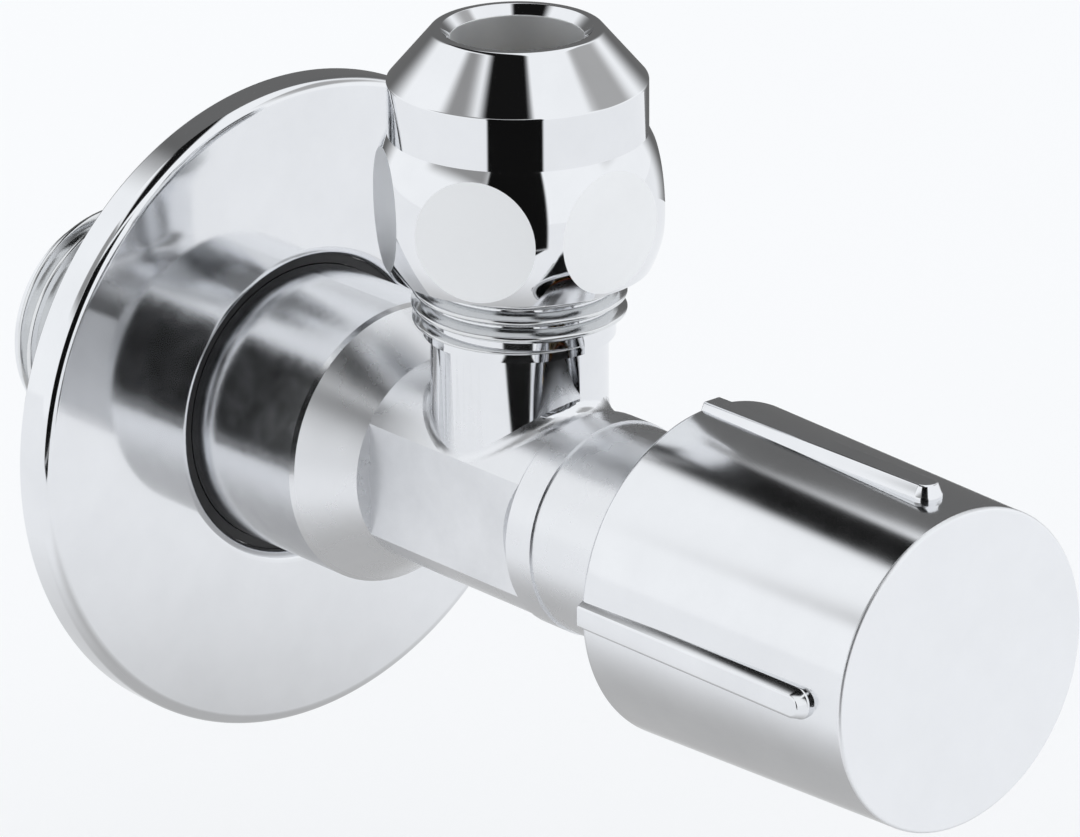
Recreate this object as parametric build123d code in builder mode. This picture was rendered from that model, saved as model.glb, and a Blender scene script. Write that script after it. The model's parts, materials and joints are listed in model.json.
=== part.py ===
from build123d import *
import math
import os

os.makedirs("parts", exist_ok=True)

# Chromed angle valve: wall inlet, tube compression outlet and a knob on a non-rising spindle.
# Millimetres. +X is the valve axis away from the wall, +Z is the outlet, x = 0 is the wall plane.

# Clearances, on the radius unless they say otherwise
thread_clearance = 0.05
running_clearance = 0.05
tube_clearance = 0.10
ring_clearance = 0.03
press_clearance = 0.02
cone_clearance = 0.05
hex_clearance = 0.10
axial_clearance = 0.10

# Standard sizes: inlet thread, outlet thread, headwork thread and supply tube
inlet_thread_d = 20.955
outlet_thread_d = 16.662
headwork_thread_d = 12.0
tube_d = 10.0

# Valve body along the valve axis
tail_length = 23.4
tail_chamfer = 0.8
barrel_d = 23.0
barrel_length = 14.6
barrel_edge = 0.3
shoulder_length = 4.2
core_d = 16.8
core_flats = 14.0
core_length = 21.9
boss_d = 17.2
boss_flank = 2.1
boss_length = 2.7
collar_d = 16.9
collar_length = 12.8

# Waterway and seat
inlet_bore_d = 9.8
seat_bore_d = 7.4
seat_rim_width = 0.8
seat_rim_height = 0.8
seat_setback = 6.8
throat_length = 4.0
throat_cone = 3.0

# Outlet nozzle along its own axis
outlet_offset = 14.0
nozzle_d = 13.8
nozzle_foot_radius = 1.2
passage_d = 8.4
thread_start = 14.2
thread_chamfer = 0.8
nozzle_top = 26.0
socket_floor = 14.0
mouth_d = 13.4
mouth_half_angle = 30.0

# Olive and compression nut
olive_d = 13.0
olive_tip_wall = 0.38
olive_body_length = 3.8
olive_back_length = 1.0
nut_ball_radius = 11.45
nut_ball_height = 24.0
nut_bottom = 19.0
nut_flats = 20.8
nut_neck_d = 20.0
nut_neck_top = 33.7
nut_lip_d = 13.0
nut_top = 37.8
nut_mouth_chamfer = 0.75
nut_lip_radius = 0.5
nut_thread_length = 9.7
nut_relief_d = 14.0

# Escutcheon and its grip ring
escutcheon_d = 54.0
escutcheon_depth = 3.2
escutcheon_sheet = 0.7
escutcheon_edge_radius = 0.9
escutcheon_hole_d = 24.6
escutcheon_collar_depth = 2.8
grip_ring_length = 2.0
grip_ring_setback = 0.9

# Headwork: bonnet and gasket
nose_gap = 0.8
nose_lead = 0.6
gasket_thickness = 0.6
gasket_d = 16.4
flange_d = 16.8
flange_thickness = 1.2
spanner_flats = 15.0
spanner_length = 3.2
neck_d = 11.0
neck_length = 5.0
thrust_floor_depth = 1.1
guide_flats = 8.6

# Disc carrier, its seals and screw
disc_lift = 3.75
stroke_margin = 0.35
piston_d = 10.2
piston_length = 5.0
carrier_ring_section = 1.4
ring_groove_play = 0.4
stem_d = 8.0
cup_wall = 0.5
cup_base = 1.7
cup_depth = 1.7
washer_d = 10.0
washer_thickness = 2.8
screw_d = 3.0
screw_length = 9.0
screw_head_d = 5.2
screw_head_height = 1.4
screw_slot_width = 0.8
screw_slot_depth = 0.7

# Spindle, thrust washer, rings and clip
spindle_thread_d = 5.8
spindle_thread_length = 13.8
journal_d = 6.0
thrust_collar_d = 8.2
thrust_collar_thickness = 1.2
thrust_washer_thickness = 0.5
spindle_ring_section = 1.0
spindle_ring_inset = 2.9
spindle_ring_pitch = 4.0
clip_thickness = 0.7
clip_d = 9.2
clip_groove_d = 4.8
clip_slot_width = 4.2
spline_tip_d = 5.8
spline_root_d = 5.0
spline_teeth = 20
spline_run_out = 2.0

# Knob and its push-on insert
handle_overlap = 2.0
handle_length = 26.8
handle_back_d = 26.4
handle_end_d = 24.8
handle_wall = 1.5
handle_end_wall = 2.5
handle_edge_radius = 0.4
rib_count = 4
rib_width = 2.5
rib_length = 24.0
rib_height = 0.5
rib_front_radius = 1.0
rib_edge_radius = 0.35
hub_wall = 1.9
insert_flats = 10.4
insert_setback = 0.5
insert_end_gap = 0.3
spline_end_gap = 1.5

# Stations along the valve axis
barrel_end = barrel_length
shoulder_end = barrel_end + shoulder_length
boss_start = barrel_end + core_length
boss_end = boss_start + boss_length
collar_end = boss_end + collar_length
outlet_x = barrel_end + outlet_offset
seat_x = outlet_x - seat_setback
chamber_floor = seat_x - seat_rim_height
nose_x = outlet_x + passage_d / 2 + nose_gap
flange_face = collar_end + gasket_thickness
spanner_start = flange_face + flange_thickness
spanner_end = spanner_start + spanner_length
neck_end = spanner_end + neck_length
thrust_floor = flange_face - thrust_floor_depth
thrust_collar_back = thrust_floor - thrust_washer_thickness
thrust_collar_front = thrust_collar_back - thrust_collar_thickness
spindle_tip = thrust_collar_front - spindle_thread_length
piston_start = nose_x + nose_lead
piston_end = piston_start + piston_length
guide_start = piston_end + disc_lift + stroke_margin
carrier_end = thrust_collar_front - disc_lift - stroke_margin
carrier_hole_floor = spindle_tip - disc_lift - stroke_margin
cup_floor = seat_x + washer_thickness
cup_rim = cup_floor - cup_depth
cup_back = cup_floor + cup_base
handle_back = collar_end - handle_overlap
handle_end = handle_back + handle_length
pocket_floor = handle_end - handle_end_wall
spline_start = neck_end + spline_run_out
spline_end = pocket_floor - spline_end_gap
insert_start = spline_start + insert_setback
insert_end = pocket_floor - insert_end_gap

# Radii that several pieces share
barrel_r = barrel_d / 2
core_r = core_d / 2
tube_bore_r = tube_d / 2 + tube_clearance
chamber_r = headwork_thread_d / 2 + thread_clearance
guide_bore_r = piston_d / 2 + running_clearance
journal_bore_r = journal_d / 2 + running_clearance
washer_r = washer_d / 2
cup_bore_r = washer_r + press_clearance
cup_r = cup_bore_r + cup_wall
screw_bore_r = screw_d / 2 + thread_clearance
spindle_bore_r = spindle_thread_d / 2 + thread_clearance
carrier_ring_r = guide_bore_r - ring_clearance - carrier_ring_section / 2
spindle_ring_r = journal_bore_r - ring_clearance - spindle_ring_section / 2
hub_r = (insert_flats / 2 + press_clearance) / math.cos(math.pi / 6) + hub_wall

# Cones of the outlet joint: nozzle mouth, olive and nut
mouth_slope = math.tan(math.radians(mouth_half_angle))
mouth_foot = nozzle_top - (mouth_d / 2 - tube_bore_r) / mouth_slope
olive_shift = cone_clearance / math.cos(math.radians(mouth_half_angle))
olive_tip = mouth_foot + (olive_tip_wall + olive_shift) / mouth_slope
olive_shoulder = olive_tip + (olive_d / 2 - tube_bore_r - olive_tip_wall) / mouth_slope
olive_back = olive_shoulder + olive_body_length
olive_end = olive_back + olive_back_length
nut_cone_start = olive_back - (nut_relief_d - olive_d) / 2 + cone_clearance * math.sqrt(2)
nut_cone_end = nut_cone_start + nut_relief_d / 2 - tube_bore_r
nut_thread_end = nut_bottom + nut_thread_length

outlet_axis = Axis((outlet_x, 0, 0), (0, 0, 1))


def turned(*points, mode=Mode.ADD):
    """Turn a closed outline of (x, radius) points about the valve axis."""
    with BuildSketch(Plane.XZ) as outline:
        with BuildLine():
            Polyline(*points, close=True)
        make_face()
    revolve(outline.sketch, axis=Axis.X, mode=mode)


def turned_upright(*points, mode=Mode.ADD):
    """Turn a closed outline of (radius, z) points about the outlet axis."""
    with BuildSketch(Plane.XZ) as outline:
        with BuildLine():
            Polyline(*[(outlet_x + radius, z) for radius, z in points], close=True)
        make_face()
    revolve(outline.sketch, axis=outlet_axis, mode=mode)


def hexagon_bar(start, end, flats, mode=Mode.ADD):
    """Hexagonal bar on the valve axis with two flats facing along Y."""
    with BuildSketch(Plane.YZ.offset(start)) as section:
        RegularPolygon(radius=flats / 2, side_count=6, major_radius=False, rotation=30)
    extrude(section.sketch, amount=end - start, mode=mode)


def seal_ring(x, ring_radius, section):
    """Round rubber ring on the valve axis, centred at x."""
    with BuildSketch(Plane.XZ) as outline:
        with Locations((x, ring_radius)):
            Circle(section / 2)
    revolve(outline.sketch, axis=Axis.X)


def ring_groove(x, ring_radius, section):
    """Square groove for a rubber ring, open towards the outside."""
    half_width = section / 2 + ring_groove_play / 2
    floor_radius = ring_radius - section / 2 - press_clearance
    top_radius = ring_radius + section
    turned(
        (x - half_width, floor_radius),
        (x + half_width, floor_radius),
        (x + half_width, top_radius),
        (x - half_width, top_radius),
        mode=Mode.SUBTRACT,
    )


def spline_section(start, clearance):
    """Serrated section with straight-sided teeth, widened by a clearance."""
    step = math.pi / spline_teeth
    tip = spline_tip_d / 2 + clearance
    root = spline_root_d / 2 + clearance
    radii = [tip if index % 2 == 0 else root for index in range(2 * spline_teeth)]
    points = [(r * math.cos(i * step), r * math.sin(i * step)) for i, r in enumerate(radii)]
    with BuildSketch(Plane.YZ.offset(start)) as section:
        with BuildLine():
            Polyline(*points, close=True)
        make_face()
    return section.sketch


def finish(piece, name):
    """Label a finished piece and write it to its own file."""
    piece.part.label = name
    export_step(piece.part, f"parts/{name}.step")


# Valve body: round core with the outlet nozzle and two flats, then the turned inlet and collar sides
with BuildPart() as valve_body:
    with BuildSketch(Plane.YZ.offset(barrel_end)):
        Circle(core_r)
    extrude(amount=core_length)
    with BuildSketch(Plane.XY):
        with Locations((outlet_x, 0)):
            Circle(nozzle_d / 2)
    extrude(amount=thread_start)
    nozzle_foot = valve_body.edges(Select.NEW).filter_by(GeomType.CIRCLE, reverse=True)
    fillet(nozzle_foot, nozzle_foot_radius)
    with BuildSketch(Plane.YZ.offset(shoulder_end)):
        Rectangle(core_d, core_d)
        Rectangle(core_flats, core_d, mode=Mode.SUBTRACT)
    extrude(amount=boss_start - shoulder_end, mode=Mode.SUBTRACT)
    inlet_r = inlet_thread_d / 2
    turned(
        (-tail_length, 0),
        (-tail_length, inlet_r - tail_chamfer),
        (tail_chamfer - tail_length, inlet_r),
        (0, inlet_r),
        (0, barrel_r - barrel_edge),
        (barrel_edge, barrel_r),
        (barrel_end - barrel_edge, barrel_r),
        (barrel_end, barrel_r - barrel_edge),
        (shoulder_end, core_r),
        (shoulder_end, 0),
    )
    turned(
        (boss_start - boss_flank, 0),
        (boss_start - boss_flank, core_flats / 2),
        (boss_start, boss_d / 2),
        (boss_end, boss_d / 2),
        (boss_end, collar_d / 2),
        (collar_end, collar_d / 2),
        (collar_end, 0),
    )
    outlet_r = outlet_thread_d / 2
    turned_upright(
        (0, thread_start - thread_chamfer),
        (outlet_r - thread_chamfer, thread_start - thread_chamfer),
        (outlet_r, thread_start),
        (outlet_r, nozzle_top - thread_chamfer),
        (outlet_r - thread_chamfer, nozzle_top),
        (0, nozzle_top),
    )
    seat_r = seat_bore_d / 2
    turned(
        (-tail_length, 0),
        (-tail_length, inlet_bore_d / 2),
        (seat_x - throat_length - throat_cone, inlet_bore_d / 2),
        (seat_x - throat_length, seat_r),
        (seat_x, seat_r),
        (seat_x, seat_r + seat_rim_width),
        (chamber_floor, seat_r + seat_rim_width),
        (chamber_floor, chamber_r),
        (collar_end, chamber_r),
        (collar_end, 0),
        mode=Mode.SUBTRACT,
    )
    turned_upright(
        (0, 0),
        (passage_d / 2, 0),
        (passage_d / 2, socket_floor),
        (tube_bore_r, socket_floor),
        (tube_bore_r, mouth_foot),
        (mouth_d / 2, nozzle_top),
        (0, nozzle_top),
        mode=Mode.SUBTRACT,
    )
finish(valve_body, "valve_body")

# Olive: soft ring that the nut squeezes between its own cone and the nozzle's mouth
with BuildPart() as olive:
    turned_upright(
        (tube_bore_r, olive_tip),
        (tube_bore_r + olive_tip_wall, olive_tip),
        (olive_d / 2, olive_shoulder),
        (olive_d / 2, olive_back),
        (olive_d / 2 - olive_back_length, olive_end),
        (tube_bore_r, olive_end),
    )
finish(olive, "olive")

# Compression nut: ball with six round flats, plain neck, cone and rounded lip
with BuildPart() as compression_nut:
    ball_foot_r = math.sqrt(nut_ball_radius**2 - (nut_ball_height - nut_bottom) ** 2)
    ball_top = nut_ball_height + math.sqrt(nut_ball_radius**2 - (nut_neck_d / 2) ** 2)
    nut_bore_r = outlet_r + thread_clearance
    with BuildSketch(Plane.XZ):
        with BuildLine(Plane.XZ):
            with Locations((outlet_x, 0)):
                ball_side = ThreePointArc(
                    (outlet_x + ball_foot_r, nut_bottom),
                    (outlet_x + nut_ball_radius, nut_ball_height),
                    (outlet_x + nut_neck_d / 2, ball_top),
                )
                Polyline(
                    (outlet_x + nut_neck_d / 2, ball_top),
                    (outlet_x + nut_neck_d / 2, nut_neck_top),
                    (outlet_x + nut_lip_d / 2, nut_top),
                    (outlet_x + tube_bore_r + nut_mouth_chamfer, nut_top),
                    (outlet_x + tube_bore_r, nut_top - nut_mouth_chamfer),
                    (outlet_x + tube_bore_r, nut_cone_end),
                    (outlet_x + nut_relief_d / 2, nut_cone_start),
                    (outlet_x + nut_relief_d / 2, nut_thread_end),
                    (outlet_x + nut_bore_r, nut_thread_end),
                    (outlet_x + nut_bore_r, nut_bottom),
                    (outlet_x + ball_foot_r, nut_bottom),
                )
        make_face()
    revolve(axis=outlet_axis)
    with BuildSketch(Plane.XY.offset(nut_bottom)):
        with Locations((outlet_x, 0)):
            RegularPolygon(radius=nut_flats / 2, side_count=6, major_radius=False, rotation=30)
    extrude(amount=nut_top - nut_bottom, mode=Mode.INTERSECT)
    lip = compression_nut.edges().filter_by(GeomType.CIRCLE).group_by(Axis.Z)[-1].sort_by(SortBy.RADIUS)[-1]
    fillet(lip, nut_lip_radius)
finish(compression_nut, "compression_nut")

# Escutcheon: one pressed sheet, with a deep rim and a collar turned in around its hole
with BuildPart() as escutcheon:
    with BuildSketch(Plane.XZ):
        with BuildLine():
            FilletPolyline(
                (0, escutcheon_d / 2),
                (escutcheon_depth, escutcheon_d / 2),
                (escutcheon_depth, escutcheon_hole_d / 2),
                (escutcheon_depth - escutcheon_collar_depth, escutcheon_hole_d / 2),
                radius=escutcheon_edge_radius,
            )
            offset(amount=escutcheon_sheet, side=Side.RIGHT)
        make_face()
    revolve(axis=Axis.X)
finish(escutcheon, "escutcheon")

# Grip ring: rubber ring in the escutcheon's collar that holds it on the barrel
with BuildPart() as grip_ring:
    ring_front = escutcheon_depth - grip_ring_setback
    ring_outer_r = escutcheon_hole_d / 2 - press_clearance
    ring_inner_r = barrel_r + running_clearance
    turned(
        (ring_front - grip_ring_length, ring_inner_r),
        (ring_front, ring_inner_r),
        (ring_front, ring_outer_r),
        (ring_front - grip_ring_length, ring_outer_r),
    )
finish(grip_ring, "grip_ring")

# Bonnet: screwed nose with a round bore and a hexagonal guide, spanner flats and a neck
with BuildPart() as bonnet:
    turned(
        (nose_x, 0),
        (nose_x, headwork_thread_d / 2),
        (flange_face, headwork_thread_d / 2),
        (flange_face, flange_d / 2),
        (spanner_start, flange_d / 2),
        (spanner_start, neck_d / 2),
        (neck_end, neck_d / 2),
        (neck_end, 0),
    )
    hexagon_bar(spanner_start, spanner_end, spanner_flats)
    turned(
        (nose_x, 0),
        (nose_x, guide_bore_r),
        (guide_start, guide_bore_r),
        (guide_start, 0),
        mode=Mode.SUBTRACT,
    )
    hexagon_bar(guide_start, thrust_floor, guide_flats, mode=Mode.SUBTRACT)
    turned(
        (thrust_floor, 0),
        (thrust_floor, journal_bore_r),
        (neck_end, journal_bore_r),
        (neck_end, 0),
        mode=Mode.SUBTRACT,
    )
finish(bonnet, "bonnet")

# Gasket between the body's collar and the bonnet's flange
with BuildPart() as bonnet_gasket:
    turned(
        (collar_end, chamber_r),
        (flange_face, chamber_r),
        (flange_face, gasket_d / 2),
        (collar_end, gasket_d / 2),
    )
finish(bonnet_gasket, "bonnet_gasket")

# Disc carrier: cup for the seat washer, stem, ringed piston and hexagonal threaded end
with BuildPart() as disc_carrier:
    turned(
        (cup_rim, cup_bore_r),
        (cup_rim, cup_r),
        (cup_back, cup_r),
        (cup_back, stem_d / 2),
        (piston_start, stem_d / 2),
        (piston_start, piston_d / 2),
        (piston_end, piston_d / 2),
        (piston_end, 0),
        (cup_floor, 0),
        (cup_floor, cup_bore_r),
    )
    hexagon_bar(piston_end, carrier_end, guide_flats - 2 * hex_clearance)
    carrier_ring_x = (piston_start + piston_end) / 2
    ring_groove(carrier_ring_x, carrier_ring_r, carrier_ring_section)
    turned(
        (carrier_hole_floor, 0),
        (carrier_hole_floor, spindle_bore_r),
        (carrier_end, spindle_bore_r),
        (carrier_end, 0),
        mode=Mode.SUBTRACT,
    )
    screw_tip = seat_x + screw_length
    turned(
        (cup_floor, 0),
        (cup_floor, screw_bore_r),
        (screw_tip + axial_clearance, screw_bore_r),
        (screw_tip + axial_clearance, 0),
        mode=Mode.SUBTRACT,
    )
finish(disc_carrier, "disc_carrier")

# Rubber ring of the piston
with BuildPart() as carrier_o_ring:
    seal_ring(carrier_ring_x, carrier_ring_r, carrier_ring_section)
finish(carrier_o_ring, "carrier_o_ring")

# Seat washer that closes on the seat's rim
with BuildPart() as seat_washer:
    turned(
        (seat_x, screw_bore_r),
        (cup_floor, screw_bore_r),
        (cup_floor, washer_r),
        (seat_x, washer_r),
    )
finish(seat_washer, "seat_washer")

# Slotted screw that holds the seat washer in its cup
with BuildPart() as washer_screw:
    turned(
        (seat_x - screw_head_height, 0),
        (seat_x - screw_head_height, screw_head_d / 2),
        (seat_x, screw_head_d / 2),
        (seat_x, screw_d / 2),
        (screw_tip, screw_d / 2),
        (screw_tip, 0),
    )
    with BuildSketch(Plane.YZ.offset(seat_x - screw_head_height)):
        Rectangle(screw_head_d, screw_slot_width)
    extrude(amount=screw_slot_depth, mode=Mode.SUBTRACT)
finish(washer_screw, "washer_screw")

# Spindle: threaded end, thrust collar, ringed journal, clip groove and splined end
with BuildPart() as spindle:
    clip_groove_end = neck_end + 2 * axial_clearance + clip_thickness
    turned(
        (spindle_tip, 0),
        (spindle_tip, spindle_thread_d / 2),
        (thrust_collar_front, spindle_thread_d / 2),
        (thrust_collar_front, thrust_collar_d / 2),
        (thrust_collar_back, thrust_collar_d / 2),
        (thrust_collar_back, journal_d / 2),
        (neck_end, journal_d / 2),
        (neck_end, clip_groove_d / 2),
        (clip_groove_end, clip_groove_d / 2),
        (clip_groove_end, journal_d / 2),
        (spline_start, journal_d / 2),
        (spline_start, 0),
    )
    inner_ring_x = thrust_floor + spindle_ring_inset
    outer_ring_x = inner_ring_x + spindle_ring_pitch
    ring_groove(inner_ring_x, spindle_ring_r, spindle_ring_section)
    ring_groove(outer_ring_x, spindle_ring_r, spindle_ring_section)
    extrude(spline_section(spline_start, 0), amount=spline_end - spline_start)
finish(spindle, "spindle")

# Rubber rings of the spindle
with BuildPart() as spindle_o_ring_inner:
    seal_ring(inner_ring_x, spindle_ring_r, spindle_ring_section)
finish(spindle_o_ring_inner, "spindle_o_ring_inner")

with BuildPart() as spindle_o_ring_outer:
    seal_ring(outer_ring_x, spindle_ring_r, spindle_ring_section)
finish(spindle_o_ring_outer, "spindle_o_ring_outer")

# Thrust washer between the spindle's collar and the bonnet
with BuildPart() as thrust_washer:
    turned(
        (thrust_collar_back, journal_bore_r),
        (thrust_floor, journal_bore_r),
        (thrust_floor, thrust_collar_d / 2),
        (thrust_collar_back, thrust_collar_d / 2),
    )
finish(thrust_washer, "thrust_washer")

# Retaining clip that keeps the spindle in the bonnet's neck
with BuildPart() as retaining_clip:
    clip_start = neck_end + axial_clearance
    with BuildSketch(Plane.YZ.offset(clip_start)):
        Circle(clip_d / 2)
        Circle(clip_groove_d / 2 + press_clearance, mode=Mode.SUBTRACT)
        with Locations((0, -clip_d / 2)):
            Rectangle(clip_slot_width, clip_d, mode=Mode.SUBTRACT)
    extrude(amount=clip_thickness)
finish(retaining_clip, "retaining_clip")

# Handle insert: plastic bush between the spindle's teeth and the knob's hub
with BuildPart() as handle_insert:
    hexagon_bar(insert_start, insert_end, insert_flats)
    extrude(
        spline_section(insert_start, running_clearance),
        amount=insert_end - insert_start,
        mode=Mode.SUBTRACT,
    )
finish(handle_insert, "handle_insert")

# Handle: hollow tapered knob with four grip ribs, a plain end face and a hub inside
with BuildPart() as handle:
    handle_taper = (handle_back_d - handle_end_d) / 2 / handle_length
    cavity_end_r = handle_end_d / 2 + handle_taper * handle_end_wall - handle_wall
    turned(
        (handle_back, handle_back_d / 2 - handle_wall),
        (handle_back, handle_back_d / 2),
        (handle_end, handle_end_d / 2),
        (handle_end, 0),
        (pocket_floor, 0),
        (pocket_floor, cavity_end_r),
    )
    end_edge = handle.edges().filter_by(GeomType.CIRCLE).group_by(Axis.X)[-1]
    fillet(end_edge, handle_edge_radius)
    with BuildSketch(Plane.YZ.offset(insert_start)):
        Circle(hub_r)
    extrude(amount=pocket_floor - insert_start)
    hexagon_bar(insert_start, pocket_floor, insert_flats + 2 * press_clearance, mode=Mode.SUBTRACT)
    rib_foot_radius = handle_end_d / 2 - handle_wall / 2
    rib_top_radius = max(handle_back_d, handle_end_d) / 2 + rib_height
    for index in range(rib_count):
        angle = 2 * math.pi * index / rib_count
        outward = Vector(0, math.cos(angle), math.sin(angle))
        foot_plane = Plane(origin=outward * rib_foot_radius, x_dir=(1, 0, 0), z_dir=outward)
        with BuildSketch(foot_plane) as rib:
            with Locations((handle_back + rib_length / 2, 0)):
                Rectangle(rib_length, rib_width)
            fillet(rib.vertices().group_by(Axis.X)[-1], rib_front_radius)
        extrude(amount=rib_top_radius - rib_foot_radius)
        rib_top = handle.faces().sort_by(Axis((0, 0, 0), tuple(outward)))[-1]
        fillet(rib_top.edges(), rib_edge_radius)
finish(handle, "handle")
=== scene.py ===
import json
import logging
import math
from collections.abc import Callable, Sequence
from dataclasses import dataclass
from enum import Enum

import bmesh
import bpy
from mathutils import Matrix, Vector


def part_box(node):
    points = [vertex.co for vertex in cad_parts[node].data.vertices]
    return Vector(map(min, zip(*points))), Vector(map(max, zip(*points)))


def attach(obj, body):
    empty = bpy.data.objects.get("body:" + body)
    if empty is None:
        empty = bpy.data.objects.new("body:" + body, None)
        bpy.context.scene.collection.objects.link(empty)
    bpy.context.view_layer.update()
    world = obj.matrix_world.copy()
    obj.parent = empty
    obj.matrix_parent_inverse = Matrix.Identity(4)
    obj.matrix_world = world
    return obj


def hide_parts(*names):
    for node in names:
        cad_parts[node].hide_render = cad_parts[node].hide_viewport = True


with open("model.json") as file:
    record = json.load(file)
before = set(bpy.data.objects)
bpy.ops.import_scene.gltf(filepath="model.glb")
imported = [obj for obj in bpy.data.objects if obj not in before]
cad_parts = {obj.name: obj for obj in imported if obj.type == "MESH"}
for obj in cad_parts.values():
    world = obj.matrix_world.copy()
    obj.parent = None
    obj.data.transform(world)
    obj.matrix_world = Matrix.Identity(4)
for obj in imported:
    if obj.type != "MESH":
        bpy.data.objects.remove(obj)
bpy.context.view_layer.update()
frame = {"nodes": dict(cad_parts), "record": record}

# Chromed angle valve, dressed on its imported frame. Metres: +X leaves the wall, +Z is the outlet.
MM = 0.001
TINY = 1e-7
NEAR = 0.01 * MM
LOG = logging.getLogger("angle_valve")

# A holding point lies this share of a rounding beside it, so that the flat shades flat.
HOLD_SHARE = 0.1
# Corners of a studio card in its own map, in the order that its face has them.
CARD_UV = ((0, 0), (1, 0), (1, 1), (0, 1))

Colour = tuple[float, float, float]
Point = tuple[float, float]
Corner = tuple[float, float, float]
NodeInput = float | bpy.types.NodeSocket


class Spin(Enum):
    """Axis that a turned piece goes round."""

    VALVE = "valve"
    OUTLET = "outlet"


class Cut(Enum):
    """How a cutter changes the piece that it is set against."""

    KEEP_COMMON = "INTERSECT"
    TAKE_AWAY = "DIFFERENCE"


class Grain(Enum):
    """Fine surface relief of a finish."""

    POLISHED = "polished"
    SPECKLED = "speckled"
    TURNED = "turned"


@dataclass
class Graph:
    """A node tree with short calls that add nodes and join them."""

    tree: bpy.types.NodeTree

    def add(
        self, kind: str, inputs: dict[str | int, object] | None = None, **settings: object
    ) -> bpy.types.Node:
        """Add one node.

        Args:
            kind: Blender's type name of the node.
            inputs: Values or sockets for its inputs, by name or index.
            **settings: Properties of the node itself.

        Returns:
            The new node.
        """
        node = self.tree.nodes.new(kind)
        for key, value in settings.items():
            setattr(node, key, value)
        for key, value in (inputs or {}).items():
            if isinstance(value, bpy.types.NodeSocket):
                self.tree.links.new(value, node.inputs[key])
            else:
                node.inputs[key].default_value = value
        return node

    def math(self, operation: str, first: NodeInput, second: NodeInput) -> bpy.types.NodeSocket:
        """Add a math node on two values or sockets and return its result."""
        return self.add("ShaderNodeMath", {0: first, 1: second}, operation=operation).outputs[0]

    def from_ends(self, share: bpy.types.NodeSocket) -> bpy.types.NodeSocket:
        """Distance of a share from the nearer of 0 and 1."""
        return self.math("MINIMUM", share, self.math("SUBTRACT", 1.0, share))

    def spread(
        self,
        value: bpy.types.NodeSocket,
        source: tuple[NodeInput, NodeInput],
        target: tuple[NodeInput, NodeInput],
        **settings: object,
    ) -> bpy.types.NodeSocket:
        """Map a value from one range to another.

        Args:
            value: Socket with the value.
            source: Range that it comes in.
            target: Range that it is spread over.
            **settings: Properties of the node itself.

        Returns:
            Socket with the mapped value.
        """
        ends = {"From Min": source[0], "From Max": source[1], "To Min": target[0], "To Max": target[1]}
        return self.add("ShaderNodeMapRange", {"Value": value, **ends}, **settings).outputs["Result"]


@dataclass(frozen=True)
class Finish:
    """A procedural surface, laid on Object coordinates."""

    name: str
    slot: str
    light: Colour
    dark: Colour
    roughness: tuple[float, float]
    metallic: float = 0.0
    grain: Grain = Grain.POLISHED
    mottle_per_metre: float = 180.0
    grain_per_metre: float = 2600.0
    relief: float = 0.0
    specular: float = 0.5
    mottle_detail: float = 4.0
    mottle_roughness: float = 0.6
    tint_stops: Point = (0.3, 0.7)
    haze_range: Point = (0.25, 0.75)
    ring_wobble: float = 0.4
    ring_detail: float = 1.0
    speckle_detail: float = 3.0
    speckle_roughness: float = 0.55

    def material(self) -> bpy.types.Material:
        """Make the material once and give the same one after that.

        Returns:
            The finished material.
        """
        made = bpy.data.materials.get(self.name)
        if made is not None:
            return made
        made = bpy.data.materials.new(self.name)
        made.use_nodes = True
        made.node_tree.nodes.clear()
        graph = Graph(made.node_tree)
        place = graph.add("ShaderNodeTexCoord").outputs["Object"]
        mottle = graph.add(
            "ShaderNodeTexNoise",
            {
                "Vector": place,
                "Scale": self.mottle_per_metre,
                "Detail": self.mottle_detail,
                "Roughness": self.mottle_roughness,
            },
        ).outputs["Fac"]
        tint = graph.add("ShaderNodeValToRGB", {"Fac": mottle})
        for stop, position, colour in zip(tint.color_ramp.elements, self.tint_stops, (self.dark, self.light)):
            stop.position = position
            stop.color = (*colour, 1.0)
        look = {
            "Base Color": tint.outputs["Color"],
            "Roughness": graph.spread(mottle, self.haze_range, self.roughness),
            "Metallic": self.metallic,
            "Specular IOR Level": self.specular,
        }
        if self.grain is not Grain.POLISHED:
            bump = graph.add(
                "ShaderNodeBump",
                {"Height": self.relief_height(graph, place), "Strength": 1.0, "Distance": self.relief},
            )
            look["Normal"] = bump.outputs["Normal"]
        surface = graph.add("ShaderNodeBsdfPrincipled", look)
        graph.add("ShaderNodeOutputMaterial", {"Surface": surface.outputs["BSDF"]})
        return made

    def relief_height(self, graph: Graph, place: bpy.types.NodeSocket) -> bpy.types.NodeSocket:
        """Height pattern of the grain.

        Args:
            graph: Tree of the material.
            place: Object coordinates.

        Returns:
            Socket with the height, from 0 to 1.
        """
        inputs = {"Vector": place, "Scale": self.grain_per_metre}
        if self.grain is Grain.TURNED:
            inputs |= {"Distortion": self.ring_wobble, "Detail": self.ring_detail}
            rings = graph.add("ShaderNodeTexWave", inputs, wave_type="BANDS", bands_direction="X")
            return rings.outputs["Fac"]
        inputs |= {"Detail": self.speckle_detail, "Roughness": self.speckle_roughness}
        return graph.add("ShaderNodeTexNoise", inputs).outputs["Fac"]


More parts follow.
